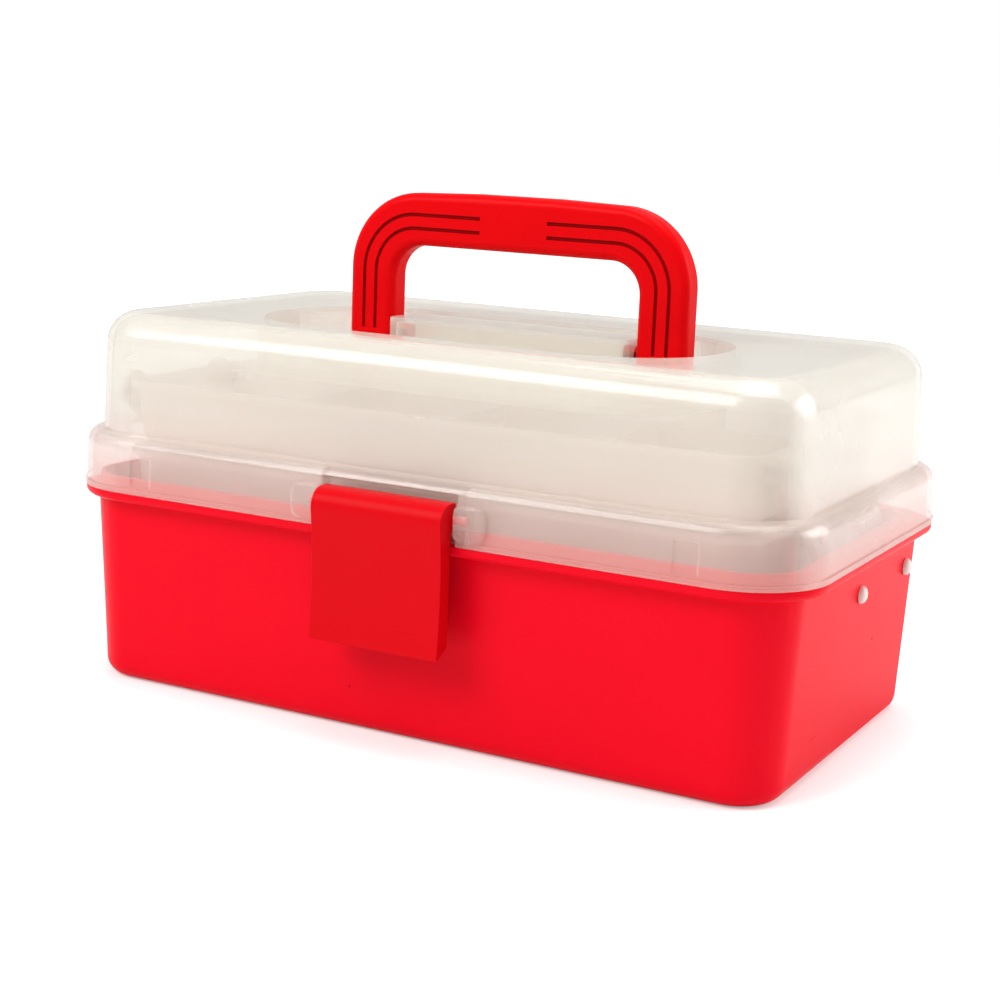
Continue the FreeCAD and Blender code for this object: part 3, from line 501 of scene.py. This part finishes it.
def pin_tree():
    """Geometry nodes that turn one headed pin and set a copy on each point of a mesh."""
    tree = bpy.data.node_groups.new("Headed pins", "GeometryNodeTree")
    face = tree.interface
    face.new_socket("Geometry", in_out="INPUT", socket_type="NodeSocketGeometry")
    for name, kind, default in (("Shaft radius", "NodeSocketFloat", 2.1 * MM),
                                ("Shaft length", "NodeSocketFloat", 10 * MM),
                                ("Head radius", "NodeSocketFloat", 3 * MM),
                                ("Head height", "NodeSocketFloat", 2 * MM),
                                ("Sides", "NodeSocketInt", 48),
                                ("Material", "NodeSocketMaterial", None)):
        socket = face.new_socket(name, in_out="INPUT", socket_type=kind)
        if default is not None:
            socket.default_value = default
    face.new_socket("Geometry", in_out="OUTPUT", socket_type="NodeSocketGeometry")

    def node(kind, **links):
        made = tree.nodes.new(kind)
        for key, item in links.items():
            feed_geometry(made.inputs[key.replace("_", " ")], item)
        return made

    def feed_geometry(socket, item):
        if isinstance(item, bpy.types.NodeSocket):
            tree.links.new(item, socket)
        else:
            socket.default_value = item

    def point(radius, height):
        return node("ShaderNodeCombineXYZ", X=radius, Y=height).outputs["Vector"]

    def line(start, end):
        return node("GeometryNodeCurvePrimitiveLine", Start=start, End=end).outputs["Curve"]

    values = tree.nodes.new("NodeGroupInput").outputs
    tail = node("ShaderNodeMath", Value=values["Shaft length"])
    tail.operation = "MULTIPLY"
    tail.inputs[1].default_value = -1.0
    tail = tail.outputs["Value"]
    shaft, head, rise = values["Shaft radius"], values["Head radius"], values["Head height"]
    dome = node("GeometryNodeCurveQuadraticBezier", Resolution=DOME_STEPS, Start=point(head, 0.0),
                Middle=point(head, rise), End=point(0.0, rise)).outputs["Curve"]
    outline = tree.nodes.new("GeometryNodeJoinGeometry")
    for part in (dome,
                 line(point(shaft, 0.0), point(head, 0.0)),
                 line(point(shaft, tail), point(shaft, 0.0)),
                 line(point(0.0, tail), point(shaft, tail))):
        tree.links.new(part, outline.inputs["Geometry"])
    axis = tree.nodes.new("GeometryNodeCurvePrimitiveCircle")
    tree.links.new(values["Sides"], axis.inputs["Resolution"])
    axis.inputs["Radius"].default_value = AXIS_RADIUS
    turned = node("GeometryNodeCurveToMesh", Curve=axis.outputs["Curve"],
                  Profile_Curve=outline.outputs["Geometry"]).outputs["Mesh"]
    merged = node("GeometryNodeMergeByDistance", Geometry=turned,
                  Distance=PIN_MERGE_GAP).outputs["Geometry"]
    # the pin is turned about Z and lies along X
    laid = node("GeometryNodeTransform", Geometry=merged,
                Rotation=(0.0, math.radians(-90), 0.0)).outputs["Geometry"]
    side = tree.nodes.new("GeometryNodeInputNamedAttribute")
    side.data_type = "FLOAT"
    side.inputs["Name"].default_value = "turn"
    spin = node("ShaderNodeCombineXYZ", Z=side.outputs["Attribute"]).outputs["Vector"]
    set_out = node("GeometryNodeInstanceOnPoints", Points=values["Geometry"], Instance=laid, Rotation=spin)
    real = node("GeometryNodeRealizeInstances", Geometry=set_out.outputs["Instances"]).outputs["Geometry"]
    done = node("GeometryNodeSetMaterial", Geometry=real, Material=values["Material"]).outputs["Geometry"]
    sink = tree.nodes.new("NodeGroupOutput")
    tree.links.new(done, sink.inputs["Geometry"])
    return tree


def headed_pins(tree, level, material):
    """Makes the four pins of one level, as one plain mesh on their shared body."""
    sizes = bpy.context.scene.tool_box_sizes
    names = sorted(name for name in frame["nodes"] if name.startswith(level + "_pin_"))
    if not names:
        raise RuntimeError("no pins on level " + level)
    points, turns = [], []
    for name in names:
        corners = [Vector(corner) for corner in frame["nodes"][name].bound_box]
        low = Vector(min(corner[k] for corner in corners) for k in range(3))
        high = Vector(max(corner[k] for corner in corners) for k in range(3))
        middle = (low + high) / 2
        out = 1.0 if middle.x > 0 else -1.0
        neck = max(abs(low.x), abs(high.x)) - sizes.head_height
        points.append((out * neck, middle.y, middle.z))
        turns.append(0.0 if out > 0 else math.pi)
        head_radius = (high.z - low.z) / 2
        shaft_length = high.x - low.x - sizes.head_height
    mesh = bpy.data.meshes.new(level + " pin points")
    mesh.from_pydata(points, [], [])
    mesh.attributes.new("turn", "FLOAT", "POINT").data.foreach_set("value", turns)
    seed = bpy.data.objects.new(level + "_pin_points", mesh)
    bpy.context.scene.collection.objects.link(seed)
    modifier = seed.modifiers.new("pins", "NODES")
    modifier.node_group = tree
    wanted = {"Shaft radius": sizes.shaft_radius, "Shaft length": shaft_length,
              "Head radius": head_radius, "Head height": sizes.head_height, "Material": material}
    for item in tree.interface.items_tree:
        if item.item_type == "SOCKET" and item.in_out == "INPUT" and item.name in wanted:
            modifier[item.identifier] = wanted[item.name]
    bpy.context.view_layer.update()
    graph = bpy.context.evaluated_depsgraph_get()
    made = bpy.data.meshes.new_from_object(seed.evaluated_get(graph), depsgraph=graph)
    bpy.data.objects.remove(seed)
    shape = bmesh.new()
    shape.from_mesh(made)
    bmesh.ops.recalc_face_normals(shape, faces=shape.faces)
    for face in shape.faces:
        face.smooth = True
    for edge in shape.edges:
        edge.smooth = len(edge.link_faces) < 2 or edge.calc_face_angle() < PIN_EDGE_ANGLE
    shape.to_mesh(made)
    shape.free()
    piece = bpy.data.objects.new(level + "_pins", made)
    bpy.context.scene.collection.objects.link(piece)
    settle(piece, names)


# One operator for each piece or group of like pieces

class TOOLBOX_OT_tub(bpy.types.Operator):
    """Makes the red tub"""

    bl_idname = "toolbox.tub"
    bl_label = "Tub"

    def execute(self, context):
        finish = context.scene.tool_box_finish
        red = moulded_material("tub red plastic", finish.tub_red, gloss=0.30, bump=0.10, seed=1.0, speck=0.35,
                               Specular_IOR_Level=0.05)
        soften("base_tub", "tub", red, context.scene.tool_box_sizes.edge)
        return {"FINISHED"}


class TOOLBOX_OT_lid(bpy.types.Operator):
    """Makes the milky clear lid"""

    bl_idname = "toolbox.lid"
    bl_label = "Lid"

    def execute(self, context):
        finish = context.scene.tool_box_finish
        # the warmth share paints a pink glow into the lower lid, standing in for red light from the tub
        density = {"Below": 0.36, "Above": 0.46, "Height": 84 * MM,
                   "Rim": 0.80, "Rim height": 68.9 * MM, "Painted glow": 0.6}
        milk = clear_plastic("milky lid plastic", finish.lid_milk, gloss=0.22, seed=2.0, density=density,
                             Transmission_Weight=0.40, IOR=1.50, Specular_IOR_Level=1.0,
                             Coat_Weight=0.35, Coat_Roughness=0.18, Coat_IOR=1.5)
        soften("lid_shell", "lid", milk, context.scene.tool_box_sizes.edge)
        return {"FINISHED"}


class TOOLBOX_OT_handle(bpy.types.Operator):
    """Makes the red carry handle"""

    bl_idname = "toolbox.handle"
    bl_label = "Handle"

    def execute(self, context):
        finish = context.scene.tool_box_finish
        red = moulded_material("handle red plastic", finish.handle_red, gloss=0.32, bump=0.12, seed=3.0,
                               speck=0.1, Specular_IOR_Level=0.05)
        # paints shade into the floors of the grip grooves
        paint_groove_shade(red, "carry_handle")
        soften("carry_handle", "handle", red, context.scene.tool_box_sizes.fine_edge)
        return {"FINISHED"}


class TOOLBOX_OT_latch(bpy.types.Operator):
    """Makes the red front latch"""

    bl_idname = "toolbox.latch"
    bl_label = "Latch"

    def execute(self, context):
        finish = context.scene.tool_box_finish
        red = moulded_material("latch red plastic", finish.latch_red, gloss=0.36, bump=0.14, seed=4.0,
                               shade=0.10, Specular_IOR_Level=0.06)
        soften("front_latch", "latch", red, context.scene.tool_box_sizes.edge)
        return {"FINISHED"}


class TOOLBOX_OT_trays(bpy.types.Operator):
    """Makes both clear trays"""

    bl_idname = "toolbox.trays"
    bl_label = "Trays"

    def execute(self, context):
        finish = context.scene.tool_box_finish
        density = {"Below": 0.36, "Above": 0.40, "Height": 82 * MM}
        # the tray colour holds a painted pink glow of red light from the tub
        milk = clear_plastic("milky tray plastic", finish.tray_milk_and_painted_glow, gloss=0.16, seed=5.0, density=density,
                             IOR=1.5, Specular_IOR_Level=1.0, Coat_Weight=0.6, Coat_Roughness=0.06)
        for node in ("lower_tray", "upper_tray"):
            soften(node, node + "_piece", milk, context.scene.tool_box_sizes.fine_edge)
        return {"FINISHED"}


class TOOLBOX_OT_arms(bpy.types.Operator):
    """Makes the four tray arms, their headed pins and the hinge wires"""

    bl_idname = "toolbox.arms"
    bl_label = "Arms and pins"

    def execute(self, context):
        finish = context.scene.tool_box_finish
        fine = context.scene.tool_box_sizes.fine_edge
        # the arm colour holds a painted pink glow of red light from the tub
        milk = clear_plastic("milky arm plastic", finish.tray_milk_and_painted_glow, gloss=0.16, seed=6.0,
                             density={"Below": 0.40, "Above": 0.40}, IOR=1.5, Specular_IOR_Level=0.8)
        # the pin colour holds a painted pink glow of red light from the wall
        pin = clear_plastic("milky pin plastic", finish.pin_milk_and_painted_glow, gloss=0.25, seed=7.0,
                            density={"Below": 0.9, "Above": 0.9}, Transmission_Weight=0.2, IOR=1.4)
        wire = wire_material("drawn wire")
        for node in sorted(frame["nodes"]):
            if node.startswith("arm_"):
                soften(node, node + "_piece", milk, fine)
            elif node.startswith("hinge_pin"):
                soften(node, node + "_piece", wire, fine)
        tree = pin_tree()
        for level in ("base", "lower", "upper"):
            headed_pins(tree, level, pin)
        return {"FINISHED"}


# Stage

class TOOLBOX_OT_stage(bpy.types.Operator):
    """Lays the pale floor and sets the lights and the camera"""

    bl_idname = "toolbox.stage"
    bl_label = "Stage"

    FLOOR_HALF = 6.0
    AZIMUTH = 27.485
    ELEVATION = 11.505
    ROLL = 2.449
    DISTANCE = 0.6604
    TARGET = Vector((0.0078, 0.0, 0.0684))
    FOCAL_PIXELS = 1880.0
    FRAME_PIXELS = 1000.0
    CENTRE_PIXEL = (526.0, 503.6)
    SENSOR_MM = 36.0
    CLEAR_WALLS = 32
    BOUNCES = 24
    WORLD_LIGHT = 0.50
    GLOW = (0.30, 0.80)
    GLOW_NEAR = 0.30
    GLOW_FAR = 1.10
    FLOOR_GREY = 0.86
    FLOOR_ROUGHNESS = 0.9
    LAMP_AIM = Vector((0.0, 0.0, 0.07))
    CLIP_START = 0.01
    LAMPS = (("key from the left front", (-0.55, -1.00, 1.00), (0.9, 0.7), 12.5),
             ("strip over the front", (-0.10, -0.75, 0.95), (1.3, 0.06), 0.3),
             ("sheet above", (0.10, 0.10, 1.25), (1.1, 0.8), 9.5),
             ("panel at the right", (1.05, 0.75, 0.42), (0.9, 0.8), 9.0))

    def seen(self, tree):
        """1 for camera and transmission rays, which show the background; 0 for the rays of the light."""
        path = tree.nodes.new("ShaderNodeLightPath")
        return math_node(tree, "MAXIMUM",
                         path.outputs["Is Camera Ray"], path.outputs["Is Transmission Ray"])

    def floor(self):
        """Lays the pale floor that keeps the shadow and glows for the camera far off."""
        half = self.FLOOR_HALF
        mesh = bpy.data.meshes.new("floor")
        corners = [(-half, -half, 0), (half, -half, 0), (half, half, 0), (-half, half, 0)]
        mesh.from_pydata(corners, [], [(0, 1, 2, 3)])
        floor = bpy.data.objects.new("floor", mesh)
        bpy.context.scene.collection.objects.link(floor)
        material = bpy.data.materials.new("pale floor")
        material.use_nodes = True
        tree = material.node_tree
        shader = tree.nodes["Principled BSDF"]
        shader.inputs["Base Color"].default_value = (self.FLOOR_GREY,) * 3 + (1.0,)
        shader.inputs["Roughness"].default_value = self.FLOOR_ROUGHNESS
        shader.inputs["Specular IOR Level"].default_value = 0.0
        shader.inputs["Emission Color"].default_value = (1.0, 1.0, 1.0, 1.0)
        far = tree.nodes.new("ShaderNodeVectorMath")
        far.operation = "LENGTH"
        tree.links.new(place_of(tree), far.inputs[0])
        glow = ramp(tree, far.outputs["Value"], self.GLOW_NEAR, self.GLOW_FAR, *self.GLOW)
        glow = math_node(tree, "MULTIPLY", self.seen(tree), glow)
        tree.links.new(glow, shader.inputs["Emission Strength"])
        mesh.materials.append(material)

    def world(self):
        """Sets a plain pale world, white where it is seen."""
        world = bpy.data.worlds.new("plain studio")
        bpy.context.scene.world = world
        world.use_nodes = True
        tree = world.node_tree
        back = tree.nodes["Background"]
        back.inputs["Color"].default_value = (1.0, 1.0, 1.0, 1.0)
        light = ramp(tree, self.seen(tree), low=0.0, high=1.0, out_low=self.WORLD_LIGHT, out_high=1.0)
        tree.links.new(light, back.inputs["Strength"])

    def lamp(self, name, place, size, power):
        """Adds one soft area lamp that looks at the box."""
        light = bpy.data.lights.new(name, "AREA")
        light.shape = "RECTANGLE"
        light.size = size[0]
        light.size_y = size[1]
        light.energy = power
        lamp = bpy.data.objects.new(name, light)
        lamp.location = place
        aim = self.LAMP_AIM - Vector(place)
        lamp.rotation_euler = aim.to_track_quat("-Z", "Y").to_euler()
        bpy.context.scene.collection.objects.link(lamp)

    def camera(self):
        """Sets the camera at the viewing angle of the photo."""
        turn, lift, roll = (math.radians(v) for v in (self.AZIMUTH, self.ELEVATION, self.ROLL))
        back = Vector((math.sin(turn) * math.cos(lift), -math.cos(turn) * math.cos(lift), math.sin(lift)))
        side = Vector((0, 0, 1)).cross(back).normalized()
        top = back.cross(side)
        right = side * math.cos(roll) + top * math.sin(roll)
        up = top * math.cos(roll) - side * math.sin(roll)
        data = bpy.data.cameras.new("photo camera")
        data.sensor_width = self.SENSOR_MM
        data.lens = self.FOCAL_PIXELS / self.FRAME_PIXELS * self.SENSOR_MM
        data.shift_x = (self.FRAME_PIXELS / 2 - self.CENTRE_PIXEL[0]) / self.FRAME_PIXELS
        data.shift_y = (self.CENTRE_PIXEL[1] - self.FRAME_PIXELS / 2) / self.FRAME_PIXELS
        data.clip_start = self.CLIP_START
        camera = bpy.data.objects.new("photo camera", data)
        place = Matrix((right, up, back)).transposed().to_4x4()
        place.translation = self.TARGET + back * self.DISTANCE
        camera.matrix_world = place
        bpy.context.scene.collection.objects.link(camera)
        bpy.context.scene.camera = camera

    def execute(self, context):
        context.scene.view_settings.view_transform = "Standard"
        # light crosses many thin clear walls before it reaches the red inside
        context.scene.cycles.transparent_max_bounces = self.CLEAR_WALLS
        context.scene.cycles.max_bounces = self.BOUNCES
        context.scene.cycles.transmission_bounces = self.BOUNCES
        self.floor()
        self.world()
        for lamp in self.LAMPS:
            self.lamp(*lamp)
        self.camera()
        return {"FINISHED"}


class TOOLBOX_PT_pieces(bpy.types.Panel):
    """Lists the pieces of the tool box"""

    bl_label = "Tool Box"
    bl_space_type = "VIEW_3D"
    bl_region_type = "UI"
    bl_category = "Tool Box"

    def draw(self, context):
        for step in STEPS:
            self.layout.operator(step.bl_idname)
        for group in (context.scene.tool_box_finish, context.scene.tool_box_sizes):
            for key in group.bl_rna.properties.keys():
                if key not in ("rna_type", "name"):
                    self.layout.prop(group, key)


STEPS = (TOOLBOX_OT_tub, TOOLBOX_OT_lid, TOOLBOX_OT_handle, TOOLBOX_OT_latch, TOOLBOX_OT_trays,
         TOOLBOX_OT_arms, TOOLBOX_OT_stage)
CLASSES = (ToolBoxFinish, ToolBoxSizes) + STEPS + (TOOLBOX_PT_pieces,)


def register():
    for item in CLASSES:
        bpy.utils.register_class(item)
    bpy.types.Scene.tool_box_finish = bpy.props.PointerProperty(type=ToolBoxFinish)
    bpy.types.Scene.tool_box_sizes = bpy.props.PointerProperty(type=ToolBoxSizes)


def unregister():
    del bpy.types.Scene.tool_box_sizes
    del bpy.types.Scene.tool_box_finish
    for item in reversed(CLASSES):
        bpy.utils.unregister_class(item)


def main():
    register()
    for step in STEPS:
        area, action = step.bl_idname.split(".")
        getattr(getattr(bpy.ops, area), action)()


if __name__ == "__main__":
    main()
